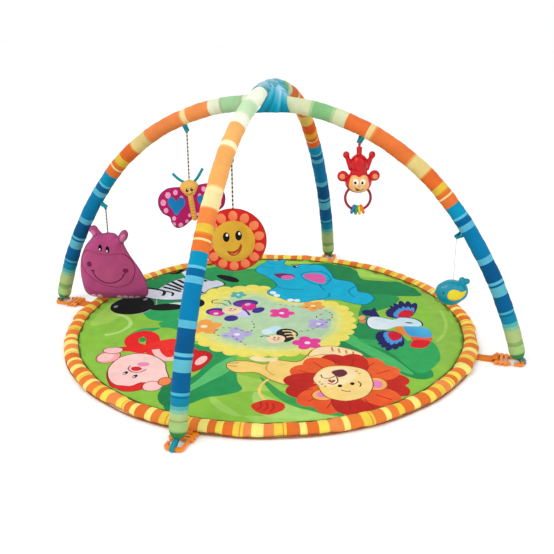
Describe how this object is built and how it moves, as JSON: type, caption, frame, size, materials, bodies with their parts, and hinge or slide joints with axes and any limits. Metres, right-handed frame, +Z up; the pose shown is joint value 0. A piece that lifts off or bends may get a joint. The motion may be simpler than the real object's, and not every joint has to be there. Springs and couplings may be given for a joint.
{
  "type": "activity play gym",
  "caption": "Round padded floor mat with two crossing padded arches clipped to its edge and soft and rattle toys hanging from the arches on short cords.",
  "frame": {"origin": "centre of the mat on the floor, under the crossing of the arches", "axes": "+Z up from the floor; the lower arch spans along X and the upper arch along Y, whose -Y foot is the front one"},
  "size_m": [1.0874, 1.0194, 0.545],
  "materials": {
    "white_tube": "extruded plastic tube",
    "foam": "soft foam",
    "sleeve_fabric": "printed striped woven polyester",
    "cuff_fabric": "gathered woven polyester",
    "teal_webbing": "woven ribbon",
    "orange_plastic": "moulded",
    "orange_webbing": "woven webbing",
    "backing_fabric": "plain woven",
    "wadding": "polyester wadding",
    "mat_print": "printed woven polyester",
    "border_fabric": "striped woven polyester",
    "hub_plastic": "moulded",
    "rivet_steel": "plain",
    "cap_fabric": "gathered woven polyester",
    "braided_cord": "braided two-tone cord",
    "white_string": "thin braided string",
    "red_plush": "velour",
    "yellow_plush": "velour",
    "magenta_plush": "velour",
    "pink_plush": "velour",
    "red_plastic": "moulded",
    "tan_plastic": "moulded",
    "bead_plastic": "moulded",
    "teal_plastic": "moulded",
    "yellow_plastic": "moulded"
  },
  "bodies": {
    "mat": {"mat_backing": "backing_fabric", "mat_batting": "wadding", "mat_top_panel": "mat_print", "border_roll": "border_fabric", "border_filling": "wadding", "front_tab": "orange_webbing", "front_clip": "orange_plastic", "back_tab": "orange_webbing", "back_clip": "orange_plastic", "left_tab": "orange_webbing", "left_clip": "orange_plastic", "right_tab": "orange_webbing", "right_clip": "orange_plastic"},
    "upper_arch": {"upper_bow_tube": "white_tube", "hub_upper_saddle": "hub_plastic", "hub_rivet": "rivet_steel", "hub_cap": "cap_fabric", "front_leg_tube": "white_tube", "front_foam": "foam", "front_sleeve": "sleeve_fabric", "front_cuff": "cuff_fabric", "front_foot_loop": "teal_webbing", "back_leg_tube": "white_tube", "back_foam": "foam", "back_sleeve": "sleeve_fabric", "back_cuff": "cuff_fabric", "back_foot_loop": "teal_webbing"},
    "lower_arch": {"lower_bow_tube": "white_tube", "hub_lower_saddle": "hub_plastic", "left_leg_tube": "white_tube", "left_foam": "foam", "left_sleeve": "sleeve_fabric", "left_cuff": "cuff_fabric", "left_foot_loop": "teal_webbing", "right_leg_tube": "white_tube", "right_foam": "foam", "right_sleeve": "sleeve_fabric", "right_cuff": "cuff_fabric", "right_foot_loop": "teal_webbing"},
    "sun_strap": {"sun_strap": "teal_webbing"},
    "sun": {"sun_cord": "braided_cord", "sun_ring": "red_plush", "sun_face": "yellow_plush"},
    "butterfly_strap": {"butterfly_strap": "teal_webbing"},
    "butterfly": {"butterfly_cord": "braided_cord", "butterfly_body": "yellow_plush", "butterfly_wings": "magenta_plush"},
    "hippo_strap": {"hippo_strap": "teal_webbing"},
    "hippo": {"hippo_cord": "braided_cord", "hippo_body": "pink_plush", "hippo_muzzle": "pink_plush"},
    "monkey_strap": {"monkey_strap": "teal_webbing"},
    "monkey": {"monkey_shell": "red_plastic", "monkey_face": "tan_plastic", "monkey_ring": "red_plastic"},
    "bird_strap": {"bird_strap": "teal_webbing"},
    "bird": {"bird_string": "white_string", "bird_body": "teal_plastic", "bird_wings": "yellow_plastic"},
    "monkey_beads": {"monkey_beads": "bead_plastic"}
  },
  "joints": [
    {"name": "arch_lift", "type": "slide", "parent": "mat", "child": "upper_arch", "axis": [0, 0, 1], "range_m": [0, 0.15], "deforming": ["front_foot_loop", "back_foot_loop", "left_foot_loop", "right_foot_loop"]},
    {"name": "arch_fold", "type": "hinge", "parent": "upper_arch", "child": "lower_arch", "pos_m": [0, 0, 0.513], "axis": [0, 0, 1], "range_deg": [-54, 0], "deforming": ["left_foot_loop", "right_foot_loop"]},
    {"name": "sun_strap_turn", "type": "hinge", "parent": "upper_arch", "child": "sun_strap", "pos_m": [0, -0.22336, 0.45343], "axis": [0, -0.809, -0.5878], "range_deg": [-12, 12]},
    {"name": "sun_swing", "type": "hinge", "parent": "sun_strap", "child": "sun", "pos_m": [0, -0.20749, 0.43158], "axis": [1, 0, 0], "range_deg": [-14, 14]},
    {"name": "butterfly_strap_turn", "type": "hinge", "parent": "lower_arch", "child": "butterfly_strap", "pos_m": [-0.19332, 0, 0.45935], "axis": [-0.9153, 0, -0.4027], "range_deg": [-12, 12]},
    {"name": "butterfly_swing", "type": "hinge", "parent": "butterfly_strap", "child": "butterfly", "pos_m": [-0.18244, 0, 0.43464], "axis": [0, 1, 0], "range_deg": [-14, 14]},
    {"name": "hippo_strap_turn", "type": "hinge", "parent": "lower_arch", "child": "hippo_strap", "pos_m": [-0.41475, 0, 0.26504], "axis": [-0.5556, 0, -0.8315], "range_deg": [-8, 8]},
    {"name": "hippo_swing", "type": "hinge", "parent": "hippo_strap", "child": "hippo", "pos_m": [-0.3923, 0, 0.25004], "axis": [0, 1, 0], "range_deg": [-8, 2]},
    {"name": "monkey_strap_turn", "type": "hinge", "parent": "lower_arch", "child": "monkey_strap", "pos_m": [0.19905, 0, 0.45678], "axis": [0.91, 0, -0.4147], "range_deg": [-12, 12]},
    {"name": "monkey_swing", "type": "hinge", "parent": "monkey_strap", "child": "monkey", "pos_m": [0.18786, 0, 0.43221], "axis": [0, 1, 0], "range_deg": [-14, 14]},
    {"name": "bird_strap_turn", "type": "hinge", "parent": "lower_arch", "child": "bird_strap", "pos_m": [0.41065, 0, 0.27112], "axis": [0.5628, 0, -0.8266], "range_deg": [-12, 12]},
    {"name": "bird_swing", "type": "hinge", "parent": "bird_strap", "child": "bird", "pos_m": [0.38833, 0, 0.25592], "axis": [0, 1, 0], "range_deg": [-14, 14]},
    {"name": "monkey_beads_slide", "type": "hinge", "parent": "monkey", "child": "monkey_beads", "pos_m": [0.18786, 0, 0.31871], "axis": [0.309, -0.9511, 0], "range_deg": [-35, 35]}
  ]
}
